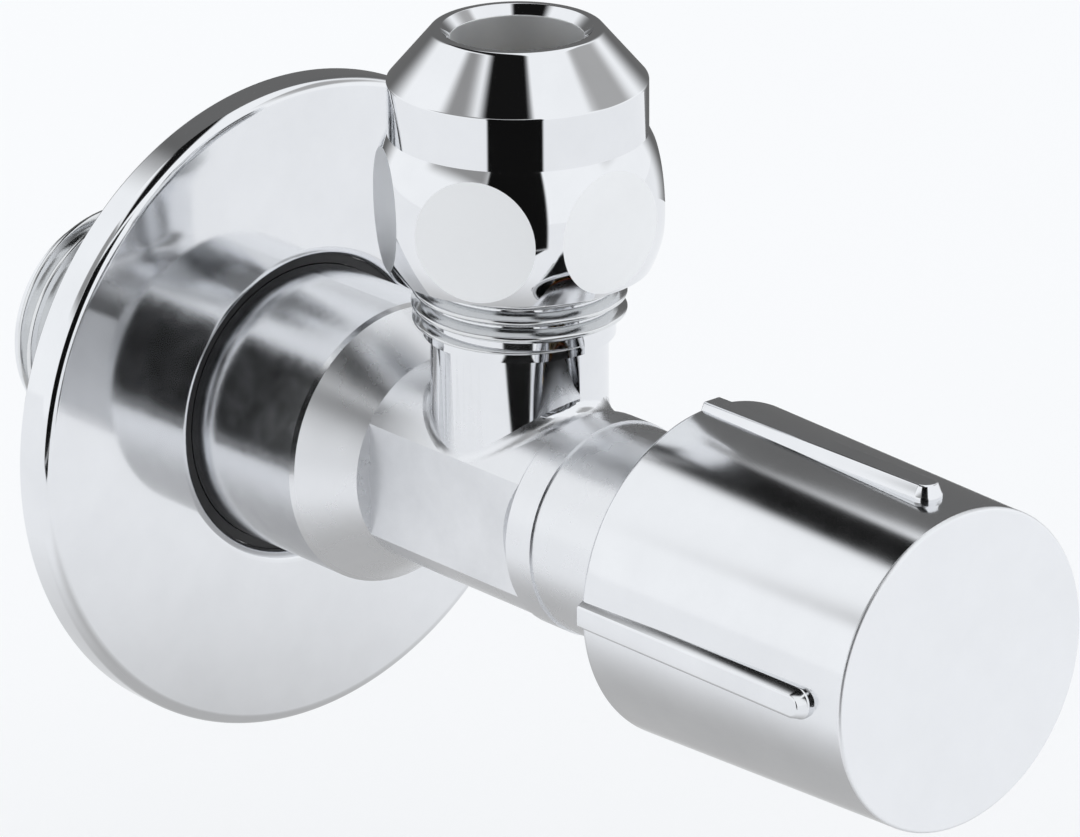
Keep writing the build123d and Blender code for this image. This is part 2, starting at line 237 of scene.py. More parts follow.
CHROME_LIGHT: Colour = (0.83, 0.84, 0.86)
CHROME_DARK: Colour = (0.79, 0.80, 0.82)
BODY_CHROME = Finish("body_chrome_plate", "body_chrome", CHROME_LIGHT, CHROME_DARK, (0.03, 0.07), 1.0)
BARREL_CHROME = Finish(
    "barrel_chrome_plate", "body_chrome", CHROME_LIGHT, CHROME_DARK, (0.15, 0.25), 1.0,
    grain=Grain.SPECKLED, mottle_per_metre=420.0, grain_per_metre=1100.0, relief=0.006 * MM,
)
CAST_CHROME = Finish("soft_cast_chrome", "body_chrome", CHROME_LIGHT, CHROME_DARK, (0.24, 0.32), 1.0)
FLAT_CHROME = Finish(
    "satin_flat_chrome", "body_chrome", CHROME_LIGHT, (0.72, 0.73, 0.75), (0.28, 0.38), 1.0,
    grain=Grain.SPECKLED, grain_per_metre=1500.0, relief=0.012 * MM,
)
THREAD_CHROME = Finish(
    "thread_chrome_plate", "body_chrome", (0.78, 0.79, 0.80), (0.70, 0.71, 0.72), (0.10, 0.18), 1.0,
)
NUT_CHROME = Finish("nut_chrome_plate", "nut_chrome", CHROME_LIGHT, CHROME_DARK, (0.03, 0.06), 1.0)
NUT_FLAT = Finish("nut_satin_flat", "nut_chrome", (0.90, 0.91, 0.92), (0.86, 0.87, 0.88), (0.30, 0.40), 1.0)
NUT_BORE = Finish("nut_satin_bore", "nut_chrome", (0.90, 0.91, 0.92), (0.84, 0.85, 0.86), (0.50, 0.65), 1.0)
ROSETTE_CHROME = Finish(
    "rosette_chrome_plate", "escutcheon_chrome", CHROME_LIGHT, CHROME_DARK, (0.06, 0.10), 1.0,
)
KNOB_END = Finish(
    "knob_satin_end", "handle_chrome", (0.88, 0.89, 0.91), (0.85, 0.86, 0.88), (0.34, 0.42), 1.0,
)
KNOB_CHROME = Finish("knob_chrome_plate", "handle_chrome", CHROME_LIGHT, CHROME_DARK, (0.11, 0.16), 1.0)
GRIP_RUBBER = Finish(
    "grip_ring_rubber", "grip_rubber", (0.030, 0.030, 0.032), (0.016, 0.016, 0.017), (0.45, 0.62),
    grain=Grain.SPECKLED, relief=0.02 * MM,
)
SEAL_RUBBER = Finish(
    "seal_rubber_black", "seal_rubber", (0.026, 0.026, 0.026), (0.014, 0.014, 0.014), (0.38, 0.55),
    grain=Grain.SPECKLED, relief=0.015 * MM,
)
OLIVE_BRASS = Finish(
    "olive_brass_turned", "olive_brass", (0.80, 0.60, 0.28), (0.70, 0.50, 0.22), (0.18, 0.30), 1.0,
    grain=Grain.TURNED, relief=0.010 * MM,
)
HEADWORK_BRASS = Finish(
    "headwork_brass_turned", "headwork_brass", (0.78, 0.58, 0.27), (0.68, 0.48, 0.21), (0.20, 0.34), 1.0,
    grain=Grain.TURNED, relief=0.010 * MM,
)
GASKET_FIBRE = Finish(
    "gasket_fibre_red", "gasket_fibre", (0.42, 0.10, 0.06), (0.28, 0.06, 0.04), (0.70, 0.85),
    grain=Grain.SPECKLED, mottle_per_metre=900.0, relief=0.03 * MM,
)
INSERT_PLASTIC = Finish(
    "insert_plastic_natural", "insert_plastic", (0.80, 0.80, 0.77), (0.72, 0.72, 0.69), (0.38, 0.52),
    grain=Grain.SPECKLED, relief=0.008 * MM,
)
CLIP_STEEL = Finish(
    "clip_steel_drawn", "clip_steel", (0.58, 0.58, 0.57), (0.46, 0.46, 0.46), (0.22, 0.36), 1.0,
    grain=Grain.TURNED, relief=0.006 * MM,
)

CAD_FINISHES: dict[str, Finish] = {
    "grip_ring": GRIP_RUBBER,
    "olive": OLIVE_BRASS,
    "bonnet": HEADWORK_BRASS,
    "bonnet_gasket": GASKET_FIBRE,
    "spindle": HEADWORK_BRASS,
    "spindle_o_ring_inner": SEAL_RUBBER,
    "spindle_o_ring_outer": SEAL_RUBBER,
    "thrust_washer": INSERT_PLASTIC,
    "retaining_clip": CLIP_STEEL,
    "disc_carrier": HEADWORK_BRASS,
    "carrier_o_ring": SEAL_RUBBER,
    "seat_washer": SEAL_RUBBER,
    "washer_screw": CLIP_STEEL,
    "handle_insert": INSERT_PLASTIC,
}


def new_piece(name: str, work: bmesh.types.BMesh) -> bpy.types.Object:
    """Turn a working mesh into an object in the scene.

    Args:
        name: Name of the piece.
        work: Mesh being built, which is freed here.

    Returns:
        The new object, at the origin.
    """
    mesh = bpy.data.meshes.new(name)
    work.to_mesh(mesh)
    work.free()
    piece = bpy.data.objects.new(name, mesh)
    bpy.context.scene.collection.objects.link(piece)
    return piece


def merged_copy(name: str, node: bpy.types.Object) -> bpy.types.Object:
    """Copy a CAD node and merge its loose triangles, with their true normals kept.

    Args:
        name: Name of the copy.
        node: CAD node to copy, which is left alone.

    Returns:
        The copy, at the origin.
    """
    normals = [tuple(corner.vector) for corner in node.data.corner_normals]
    work = bmesh.new()
    work.from_mesh(node.data)
    bmesh.ops.remove_doubles(work, verts=work.verts, dist=TINY)
    piece = new_piece(name, work)
    if len(piece.data.loops) == len(normals):
        piece.data.normals_split_custom_set(normals)
    return piece


def rounded(corners: Sequence[Corner], steps: int = 8) -> list[Point]:
    """Closed outline with its corners rounded.

    Args:
        corners: Points as (along, radius, rounding).
        steps: Parts that each rounding is divided into.

    Returns:
        Points as (along, radius), with a holding point beside each rounding.
    """
    outline: list[Point] = []
    for index, (along, radius, rounding) in enumerate(corners):
        here = Vector((along, radius))
        if rounding <= 0:
            outline.append((along, radius))
            continue
        to_before = (Vector(corners[index - 1][:2]) - here).normalized()
        to_after = (Vector(corners[(index + 1) % len(corners)][:2]) - here).normalized()
        half = to_before.angle(to_after) / 2
        reach = rounding / math.tan(half)
        hold = HOLD_SHARE * rounding
        centre = here + (to_before + to_after).normalized() * rounding / math.sin(half)
        first = here + to_before * reach
        last = here + to_after * reach
        start = math.atan2(first.y - centre.y, first.x - centre.x)
        sweep = math.atan2(last.y - centre.y, last.x - centre.x) - start
        sweep = (sweep + math.pi) % (2 * math.pi) - math.pi
        outline.append(tuple(first + to_before * hold))
        for step in range(steps + 1):
            angle = start + sweep * step / steps
            outline.append((centre.x + rounding * math.cos(angle), centre.y + rounding * math.sin(angle)))
        outline.append(tuple(last + to_after * hold))
    return outline


def turned(
    name: str, outline: Sequence[Point], spin: Spin, segments: int, centre_x: float = 0.0
) -> bpy.types.Object:
    """Turn a closed outline about one of the valve's axes.

    Args:
        name: Name of the piece.
        outline: Points as (along, radius).
        spin: Axis to turn about.
        segments: Steps around the axis.
        centre_x: Place of the outlet axis, for a piece on that axis.

    Returns:
        The turned solid.
    """
    work = bmesh.new()
    rings = []
    for along, radius in outline:
        count = segments if radius > TINY else 1
        ring = []
        for step in range(count):
            angle = 2 * math.pi * step / segments
            across, up = radius * math.cos(angle), radius * math.sin(angle)
            place = (along, across, up) if spin is Spin.VALVE else (centre_x + across, up, along)
            ring.append(work.verts.new(place))
        rings.append(ring)
    for ring, following in zip(rings, rings[1:] + rings[:1]):
        for near in range(max(len(ring), len(following))):
            far = near + 1
            around = [
                ring[near % len(ring)],
                ring[far % len(ring)],
                following[far % len(following)],
                following[near % len(following)],
            ]
            corners = list(dict.fromkeys(around))
            if len(corners) > 2:
                work.faces.new(corners)
    bmesh.ops.recalc_face_normals(work, faces=work.faces)
    return new_piece(name, work)


def hexagon_bar(
    name: str, start: float, end: float, flats: float, spin: Spin, centre_x: float = 0.0
) -> bpy.types.Object:
    """Hexagonal cutter on one of the valve's axes.

    Args:
        name: Name of the cutter.
        start: Lower end along the axis.
        end: Upper end along the axis.
        flats: Width across the flats.
        spin: Axis of the bar.
        centre_x: Place of the outlet axis, for a bar on that axis.

    Returns:
        The bar, with two flats facing along X on the outlet axis and along Y on the valve axis.
    """
    half_side = math.pi / 6
    corner = flats / 2 / math.cos(half_side)
    outline = [(start, 0), (start, corner), (end, corner), (end, 0)]
    bar = turned(name, outline, spin, segments=6, centre_x=centre_x)
    axis = "X" if spin is Spin.VALVE else "Z"
    middle = Matrix.Translation((centre_x, 0, 0))
    bar.data.transform(middle @ Matrix.Rotation(half_side, 4, axis) @ middle.inverted())
    return bar


def baked(piece: bpy.types.Object) -> bpy.types.Object:
    """Replace a piece's mesh by what its modifiers make of it, and drop them.

    Args:
        piece: Object with modifiers.

    Returns:
        The same object, with a plain mesh.
    """
    graph = bpy.context.evaluated_depsgraph_get()
    mesh = bpy.data.meshes.new_from_object(piece.evaluated_get(graph), depsgraph=graph)
    piece.modifiers.clear()
    piece.data = mesh
    return piece


def cut(piece: bpy.types.Object, cutter: bpy.types.Object, kind: Cut) -> None:
    """Cut a piece with another solid, which is used up.

    Args:
        piece: Solid that is kept.
        cutter: Solid that cuts it.
        kind: What stays of the piece.
    """
    work = piece.modifiers.new("cut", "BOOLEAN")
    work.operation = kind.value
    work.solver = "EXACT"
    work.object = cutter
    baked(piece)
    bpy.data.objects.remove(cutter)


def bevel(work: bmesh.types.BMesh, edges: list[bmesh.types.BMEdge], width: float, steps: int) -> None:
    """Bevel some edges of a working mesh, round where there is more than one step."""
    bmesh.ops.bevel(work, geom=edges, offset=width, segments=steps, profile=0.5, affect="EDGES")


def shade(piece: bpy.types.Object, sharp_deg: float = 30.0) -> None:
    """Shade a piece smooth, apart from edges sharper than an angle."""
    piece.data.shade_smooth()
    piece.data.set_sharp_from_angle(angle=math.radians(sharp_deg))


def finish_faces(
    piece: bpy.types.Object,
    finishes: Sequence[Finish],
    finish_of: Callable[[bpy.types.MeshPolygon], Finish],
) -> None:
    """Give a piece several finishes, face by face.

    Args:
        piece: Finished mesh object.
        finishes: All its finishes, in the order of its material slots.
        finish_of: Says which of them a face has.
    """
    piece.data.materials.clear()
    for finish in finishes:
        piece.data.materials.append(finish.material())
    for face in piece.data.polygons:
        face.material_index = finishes.index(finish_of(face))


def dress(piece: bpy.types.Object, finish: Finish, body: str, *nodes: str) -> None:
    """Give a piece its finish, its body and the nodes that it stands for.

    Args:
        piece: Finished mesh object.
        finish: Surface of the piece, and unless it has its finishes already.
        body: CAD body that it moves with.
        *nodes: CAD nodes that it replaces.
    """
    if not piece.data.materials:
        piece.data.materials.append(finish.material())
    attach(piece, body)
    if nodes:
        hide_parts(*nodes)
    LOG.info("%s: %d faces, moves with %s", piece.name, len(piece.data.polygons), body)


def new_tree(name: str, inputs: dict[str, str]) -> Graph:
    """Start a Geometry Nodes tree with named inputs and one geometry output.

    Args:
        name: Name of the tree.
        inputs: Socket type of each input, by its name.

    Returns:
        The graph of the new tree.
    """
    tree = bpy.data.node_groups.new(name, "GeometryNodeTree")
    for label, kind in inputs.items():
        tree.interface.new_socket(label, in_out="INPUT", socket_type=kind)
    tree.interface.new_socket("Geometry", in_out="OUTPUT", socket_type="NodeSocketGeometry")
    return Graph(tree)


def close_tree(
    graph: Graph, shape: bpy.types.NodeSocket, finish: bpy.types.NodeSocket
) -> bpy.types.GeometryNodeTree:
    """End a tree: make its instances real, give them their finish and lead them out.

    Args:
        graph: Graph of the tree.
        shape: Socket with the shape.
        finish: Socket with the material.

    Returns:
        The finished tree.
    """
    solid = graph.add("GeometryNodeRealizeInstances", {"Geometry": shape})
    finished = graph.add(
        "GeometryNodeSetMaterial", {"Geometry": solid.outputs["Geometry"], "Material": finish}
    )
    graph.add("NodeGroupOutput", {"Geometry": finished.outputs["Geometry"]})
    return graph.tree


def around_tree() -> bpy.types.GeometryNodeTree:
    """Geometry Nodes tree that repeats one shape around the valve axis.

    Returns:
        Tree with the inputs Shape, Count and Finish.
    """
    graph = new_tree(
        "around_valve_axis",
        {"Shape": "NodeSocketObject", "Count": "NodeSocketInt", "Finish": "NodeSocketMaterial"},
    )
    given = graph.add("NodeGroupInput").outputs
    places = graph.add("GeometryNodePoints", {"Count": given["Count"]})
    step = graph.math("DIVIDE", 2 * math.pi, given["Count"])
    angle = graph.math("MULTIPLY", graph.add("GeometryNodeInputIndex").outputs["Index"], step)
    turn = graph.add("ShaderNodeCombineXYZ", {"X": angle})
    shape = graph.add("GeometryNodeObjectInfo", {"Object": given["Shape"], "As Instance": True})
    copies = graph.add(
        "GeometryNodeInstanceOnPoints",
        {
            "Points": places.outputs["Points"],
            "Instance": shape.outputs["Geometry"],
            "Rotation": turn.outputs["Vector"],
        },
    )
    return close_tree(graph, copies.outputs["Instances"], given["Finish"])


def grown(name: str, tree: bpy.types.GeometryNodeTree, values: dict[str, object]) -> bpy.types.Object:
    """Run a Geometry Nodes tree on an empty mesh and keep the result as a plain mesh.

    Args:
        name: Name of the piece.
        tree: Tree that makes the shape.
        values: Values of the tree's inputs, by their names.

    Returns:
        The piece, with the modifier gone.
    """
    piece = new_piece(name, bmesh.new())
    work = piece.modifiers.new("grow", "NODES")
    work.node_group = tree
    for socket in tree.interface.items_tree:
        if socket.item_type == "SOCKET" and socket.in_out == "INPUT":
            work[socket.identifier] = values[socket.name]
    piece.update_tag()
    bpy.context.view_layer.update()
    return baked(piece)


@dataclass(frozen=True)
class RidgeForm:
    """Section of a thread's ridge, in shares of its depth and pitch, and how it runs out."""

    steps_per_turn: int = 96
    end_scale: float = 0.05
    foot_of_depth: float = 0.15
    root_of_pitch: float = 1.04
    crest_of_pitch: float = 0.2
    rounding_of_pitch: float = 0.12
    rounding_steps: int = 4

    def tree(self) -> bpy.types.GeometryNodeTree:
        """Geometry Nodes tree of a helical ridge that follows a spiral and runs out at both ends.

        Returns:
            Tree with the inputs Root Radius, Depth, Pitch, Length, Run Out and Finish.
        """
        sizes = ("Root Radius", "Depth", "Pitch", "Length", "Run Out")
        kinds = {**dict.fromkeys(sizes, "NodeSocketFloat"), "Finish": "NodeSocketMaterial"}
        graph = new_tree("thread_ridge", kinds)
        given = graph.add("NodeGroupInput").outputs
        path = graph.add(
            "GeometryNodeCurveSpiral",
            {
                "Resolution": self.steps_per_turn,
                "Rotations": graph.math("DIVIDE", given["Length"], given["Pitch"]),
                "Start Radius": given["Root Radius"],
                "End Radius": given["Root Radius"],
                "Height": given["Length"],
                "Reverse": False,
            },
        )
        level = graph.add("GeometryNodeSetCurveNormal", {"Curve": path.outputs["Curve"]}, mode="Z_UP")
        from_end = graph.from_ends(graph.add("GeometryNodeSplineParameter").outputs["Factor"])
        rise = graph.spread(from_end, (0.0, given["Run Out"]), (self.end_scale, 1.0))
        foot = graph.math("MULTIPLY", given["Depth"], self.foot_of_depth)
        ridge = graph.add(
            "GeometryNodeCurvePrimitiveQuadrilateral",
            {
                "Height": graph.math("ADD", given["Depth"], foot),
                "Bottom Width": graph.math("MULTIPLY", given["Pitch"], self.root_of_pitch),
                "Top Width": graph.math("MULTIPLY", given["Pitch"], self.crest_of_pitch),
                "Offset": 0.0,
            },
            mode="TRAPEZOID",
        )
        softened = graph.add(
            "GeometryNodeFilletCurve",
            {
                "Curve": ridge.outputs["Curve"],
                "Radius": graph.math("MULTIPLY", given["Pitch"], self.rounding_of_pitch),
                "Count": self.rounding_steps,
                "Limit Radius": True,
            },
            mode="POLY",
        )
        raised = graph.math("MULTIPLY", graph.math("SUBTRACT", given["Depth"], foot), -0.5)
        lift = graph.add("ShaderNodeCombineXYZ", {"X": raised})
        upright = graph.add(
            "GeometryNodeTransform",
            {
                "Geometry": softened.outputs["Curve"],
                "Translation": lift.outputs["Vector"],
                "Rotation": (0.0, 0.0, math.pi / 2),
            },
        )
        sweep = graph.add(
            "GeometryNodeCurveToMesh",
            {
                "Curve": level.outputs["Curve"],
                "Profile Curve": upright.outputs["Geometry"],
                "Scale": rise,
                "Fill Caps": True,
            },
        )
        return close_tree(graph, sweep.outputs["Mesh"], given["Finish"])


@dataclass
class ScrewThread:
    """One outside thread, as a helical ridge on its root cylinder."""

    crest_radius: float
    depth: float
    pitch: float
    start: float
    length: float
    phase_deg: float = 0.0
    run_out_turns: float = 0.4
    sharp_deg: float = 20.0

    @property
    def root_radius(self) -> float:
        """Radius at the foot of the ridge."""
        return self.crest_radius - self.depth

    def build(self, name: str, tree: bpy.types.GeometryNodeTree, place: Matrix) -> None:
        """Grow the ridge along Z, set it in place and dress it.

        Args:
            name: Name of the piece.
            tree: Geometry Nodes tree of the ridge.
            place: Where the thread's start and axis go.
        """
        ridge = grown(
            name,
            tree,
            {
                "Root Radius": self.root_radius,
                "Depth": self.depth,
                "Pitch": self.pitch,
                "Length": self.length,
                "Run Out": self.run_out_turns * self.pitch / self.length,
                "Finish": THREAD_CHROME.material(),
            },
        )
        turn = Matrix.Rotation(math.radians(self.phase_deg), 4, "Z")
        ridge.data.transform(place @ Matrix.Translation((0, 0, self.start)) @ turn)
        shade(ridge, self.sharp_deg)
        dress(ridge, THREAD_CHROME, "valve")


@dataclass
class ValveBody:
    """Body casting with its two outside threads and its satin flats."""

    outlet_x: float
    inlet: ScrewThread
    outlet: ScrewThread
    flat_offset: float = 7.0 * MM
    flat_facing: float = 0.999
    nozzle_foot: float = 8.6 * MM
    barrel_end: float = 14.61 * MM
    crest_margin: float = 0.05 * MM

    def finish_of(self, face: bpy.types.MeshPolygon) -> Finish:
        """Finish of one face of the casting, by where it lies.

        Args:
            face: Face of the casting.

        Returns:
            Bright plate on the nozzle, satin on the flats, softer plate on the cast core and the barrel.
        """
        x, y, z = face.center
        if z > self.nozzle_foot and math.hypot(x - self.outlet_x, y) < self.outlet.crest_radius:
            return BODY_CHROME
        if abs(face.normal.y) > self.flat_facing and abs(abs(y) - self.flat_offset) < NEAR:
            return FLAT_CHROME
        return CAST_CHROME if x > self.barrel_end else BARREL_CHROME

    def sink_thread(self, mesh: bpy.types.Mesh, thread: ScrewThread, spin: Spin) -> None:
        """Lower a plain crest cylinder to the thread's roots.

        Args:
            mesh: Copy of the body's mesh.
            thread: Thread that will cover the cylinder.
            spin: Axis of the thread.
        """
        for vertex in mesh.vertices:
            x, y, z = vertex.co
            if spin is Spin.VALVE:
                along, first, second = -x, y, z
            else:
                along, first, second = z, x - self.outlet_x, y
            radius = math.hypot(first, second)
            on_thread = thread.root_radius < radius < thread.crest_radius + self.crest_margin
            if on_thread and along > thread.start - thread.pitch:
                scale = thread.root_radius / radius
                first, second = first * scale, second * scale
                if spin is Spin.VALVE:
                    vertex.co = (x, first, second)
                else:
                    vertex.co = (first + self.outlet_x, second, z)

    def build(self) -> None:
        """Copy the casting, sink its thread cylinders, finish its faces and grow its threads."""
        casting = merged_copy("body_casting", frame["nodes"]["valve_body"])
        self.sink_thread(casting.data, self.inlet, Spin.VALVE)
        self.sink_thread(casting.data, self.outlet, Spin.OUTLET)
        finish_faces(casting, (BODY_CHROME, BARREL_CHROME, CAST_CHROME, FLAT_CHROME), self.finish_of)
        dress(casting, BODY_CHROME, "valve", "valve_body")
        tree = RidgeForm().tree()
        self.inlet.build("inlet_thread", tree, Matrix.Rotation(-math.pi / 2, 4, "Y"))
        self.outlet.build("outlet_thread", tree, Matrix.Translation((self.outlet_x, 0, 0)))


@dataclass
class CompressionNut:
    """Ball-shaped nut with six round flats, plain neck, cone and tube hole."""

    outlet_x: float
    bottom: float
    top: float
    ball_radius: float
    flats: float
    ball_height: float = 24.0 * MM
    neck_radius: float = 10.0 * MM
    neck_top: float = 33.7 * MM
    lip_radius: float = 6.5 * MM
    lip_rounding: float = 0.5 * MM
    tube_radius: float = 5.1 * MM
    mouth_radius: float = 5.85 * MM
    thread_radius: float = 8.38 * MM
    thread_end: float = 28.7 * MM
    relief_radius: float = 7.0 * MM
    cone_start: float = 29.12 * MM
    cone_end: float = 31.02 * MM
    soft_edge: float = 0.12 * MM
    ball_steps: int = 72
    segments: int = 240
    sharp_deg: float = 14.0
    cutter_past: float = 1.0 * MM
    bore_margin: float = 0.05 * MM
    flat_facing: float = 0.9999
    flat_margin: float = 0.005 * MM

    def outline(self) -> list[Point]:
        """Closed outline of the turned nut.

        Returns:
            Points as (height, radius), up the ball and down the bore.
        """
        low = math.asin((self.bottom - self.ball_height) / self.ball_radius)
        high = math.acos(self.neck_radius / self.ball_radius)
        ball = []
        for step in range(self.ball_steps + 1):
            angle = low + (high - low) * step / self.ball_steps
            height = self.ball_height + self.ball_radius * math.sin(angle)
            ball.append((height, self.ball_radius * math.cos(angle)))
        soft = self.soft_edge
        rest = rounded(
            [
                (*ball[-1], 0.0),
                (self.neck_top, self.neck_radius, 2 * soft),
                (self.top, self.lip_radius, self.lip_rounding),
                (self.top, self.mouth_radius, soft),
                (self.top - (self.mouth_radius - self.tube_radius), self.tube_radius, soft),
                (self.cone_end, self.tube_radius, 0.0),
                (self.cone_start, self.relief_radius, 0.0),
                (self.thread_end, self.relief_radius, 0.0),
                (self.thread_end, self.thread_radius, 0.0),
                (self.bottom, self.thread_radius, 0.0),
                (*ball[0], 0.0),
            ]
        )
        return ball + rest[1:-1]

    def finish_of(self, face: bpy.types.MeshPolygon) -> Finish:
        """Finish of one face of the nut, by where it lies.

        Args:
            face: Face of the nut.

        Returns:
            Satin on the flats and in the bore, bright plate elsewhere.
        """
        from_axis = Vector((face.center.x - self.outlet_x, face.center.y))
        outward = Vector(face.normal.xy)
        if from_axis.length < self.tube_radius + self.bore_margin:
            return NUT_BORE
        upright = outward.length > self.flat_facing
        on_flat = upright and abs(from_axis.dot(outward) - self.flats / 2) < self.flat_margin
        return NUT_FLAT if on_flat and face.center.z < self.neck_top else NUT_CHROME

    def build(self) -> None:
        """Turn the nut, keep what lies inside the hexagon and finish its faces."""
        nut = turned("ball_nut", self.outline(), Spin.OUTLET, self.segments, self.outlet_x)
        bar = hexagon_bar(
            "nut_hexagon", self.bottom - self.cutter_past, self.top + self.cutter_past, self.flats,
            Spin.OUTLET, self.outlet_x,
        )
        cut(nut, bar, Cut.KEEP_COMMON)
        shade(nut, self.sharp_deg)
        finish_faces(nut, (NUT_CHROME, NUT_FLAT, NUT_BORE), self.finish_of)
        dress(nut, NUT_CHROME, "nut", "compression_nut")


@dataclass
class Rosette:
    """Pressed wall plate with a deep rim and a collar turned in around its hole."""

    front: float
    radius: float
    back: float
    sheet: float = 0.7 * MM
    lip_rounding: float = 0.21 * MM
    edge_radius: float = 0.9 * MM
    hole_radius: float = 12.3 * MM
    collar_depth: float = 2.8 * MM
    rounding_steps: int = 10
    segments: int = 256

    def build(self) -> None:
        """Turn the pressed sheet, with its rolled rim and hole edge."""
        inner_edge = self.edge_radius - self.sheet
        inner_front = self.front - self.sheet
        hole_back = self.front - self.collar_depth
        lip = self.lip_rounding
        outline = rounded(
            [
                (self.back, self.radius, lip),
                (self.front, self.radius, self.edge_radius),
                (self.front, self.hole_radius, self.edge_radius),
                (hole_back, self.hole_radius, lip),
                (hole_back, self.hole_radius + self.sheet, lip),
                (inner_front, self.hole_radius + self.sheet, inner_edge),
                (inner_front, self.radius - self.sheet, inner_edge),
                (self.back, self.radius - self.sheet, lip),
            ],
            self.rounding_steps,
        )
        plate = turned("rosette", outline, Spin.VALVE, self.segments)
        shade(plate)
        dress(plate, ROSETTE_CHROME, "escutcheon", "escutcheon")


@dataclass
class Knob:
    """Hollow tapered knob with grip ribs, a plain end face and a hub inside."""

    back: float
    end: float
    rib_top: float
    hub_start: float
    back_radius: float = 13.2 * MM
    end_radius: float = 12.4 * MM
    wall: float = 1.5 * MM
    end_wall: float = 2.5 * MM
    lip_rounding: float = 0.45 * MM
    edge_rounding: float = 0.3 * MM
    # With this count no edge of the turned hub meets a corner of the pocket.
    segments: int = 190
    rib_count: int = 4
    rib_width: float = 2.5 * MM
    rib_length: float = 24.0 * MM
    rib_set_in: float = 0.1 * MM
    rib_root: float = 0.5 * MM
    rib_front_rounding: float = 1.2 * MM
    rib_front_steps: int = 8
    rib_flank_width: float = 0.45 * MM
    rib_flank_height: float = 0.88 * MM
    rib_edge_rounding: float = 0.14 * MM
    rib_edge_steps: int = 4
    rib_sharp_deg: float = 20.0
    hub_radius: float = 7.9 * MM
    pocket_flats: float = 10.44 * MM

    def finish_of(self, face: bpy.types.MeshPolygon) -> Finish:
        """Satin on the end face, plate elsewhere."""
        return KNOB_END if face.center.x > self.end - self.edge_rounding else KNOB_CHROME

    def shell(self) -> bpy.types.Object:
        """Turn the hollow knob with its hub and cut the hexagonal pocket.

        Returns:
            The knob's shell.
        """
        taper = (self.back_radius - self.end_radius) / (self.end - self.back)
        floor = self.end - self.end_wall
        inner = self.end_radius + taper * self.end_wall - self.wall
        lip = self.lip_rounding
        outline = rounded(
            [
                (self.back, self.back_radius, lip),
                (self.end, self.end_radius, self.edge_rounding),
                (self.end, 0.0, 0.0),
                (self.hub_start, 0.0, 0.0),
                (self.hub_start, self.hub_radius, lip),
                (floor, self.hub_radius, lip),
                (floor, inner, lip),
                (self.back, self.back_radius - self.wall, lip),
            ]
        )
        knob = turned("knob_shell", outline, Spin.VALVE, self.segments)
        pocket = hexagon_bar("knob_pocket", self.hub_start - self.wall, floor, self.pocket_flats, Spin.VALVE)
        cut(knob, pocket, Cut.TAKE_AWAY)
        shade(knob)
        finish_faces(knob, (KNOB_CHROME, KNOB_END), self.finish_of)
        return knob

    def rib(self) -> bpy.types.Object:
        """Make one rib on the +Y side, with a round front end and sloping flanks.

        Returns:
            The rib, which the Geometry Nodes tree repeats.
        """
        foot = self.end_radius - self.rib_root
        start = self.back + self.rib_set_in
        length = self.rib_length - self.rib_set_in
        middle = Vector((start + length / 2, (self.rib_top + foot) / 2, 0))
        size = Matrix.Diagonal((length, self.rib_top - foot, self.rib_width, 1))
        work = bmesh.new()
        bmesh.ops.create_cube(work, size=1.0)
        bmesh.ops.transform(work, matrix=Matrix.Translation(middle) @ size, verts=work.verts)
        upright = [
            edge for edge in work.edges
            if all(v.co.x > middle.x for v in edge.verts) and edge.verts[0].co.z * edge.verts[1].co.z > 0
        ]
        bevel(work, upright, self.rib_front_rounding, self.rib_front_steps)
        # The flanks start along the brink of the top, apart from its back end.
        brink = [
            edge for edge in work.edges
            if all(v.co.y > self.rib_top - NEAR for v in edge.verts)
            and any(v.co.x > start + NEAR for v in edge.verts)
        ]
        bevel(work, brink, self.rib_flank_width, 1)
        shoulder = self.rib_top - self.rib_flank_width
        low = self.rib_top - self.rib_flank_height
        for vertex in work.verts:
            if abs(vertex.co.y - shoulder) < NEAR:
                vertex.co.y = low
        sharp = math.radians(self.rib_sharp_deg)
        soft = [
            edge for edge in work.edges
            if all(v.co.y > low - NEAR for v in edge.verts) and edge.calc_face_angle(0.0) > sharp
        ]
        bevel(work, soft, self.rib_edge_rounding, self.rib_edge_steps)
        return new_piece("rib_pattern", work)

    def build(self) -> None:
        """Make the shell, then the ribs around it."""
        dress(self.shell(), KNOB_CHROME, "knob", "handle")
        pattern = self.rib()
        ribs = grown(
            "knob_ribs",
            around_tree(),
            {"Shape": pattern, "Count": self.rib_count, "Finish": KNOB_CHROME.material()},
        )
        bpy.data.objects.remove(pattern)
        shade(ribs)
        dress(ribs, KNOB_CHROME, "knob")


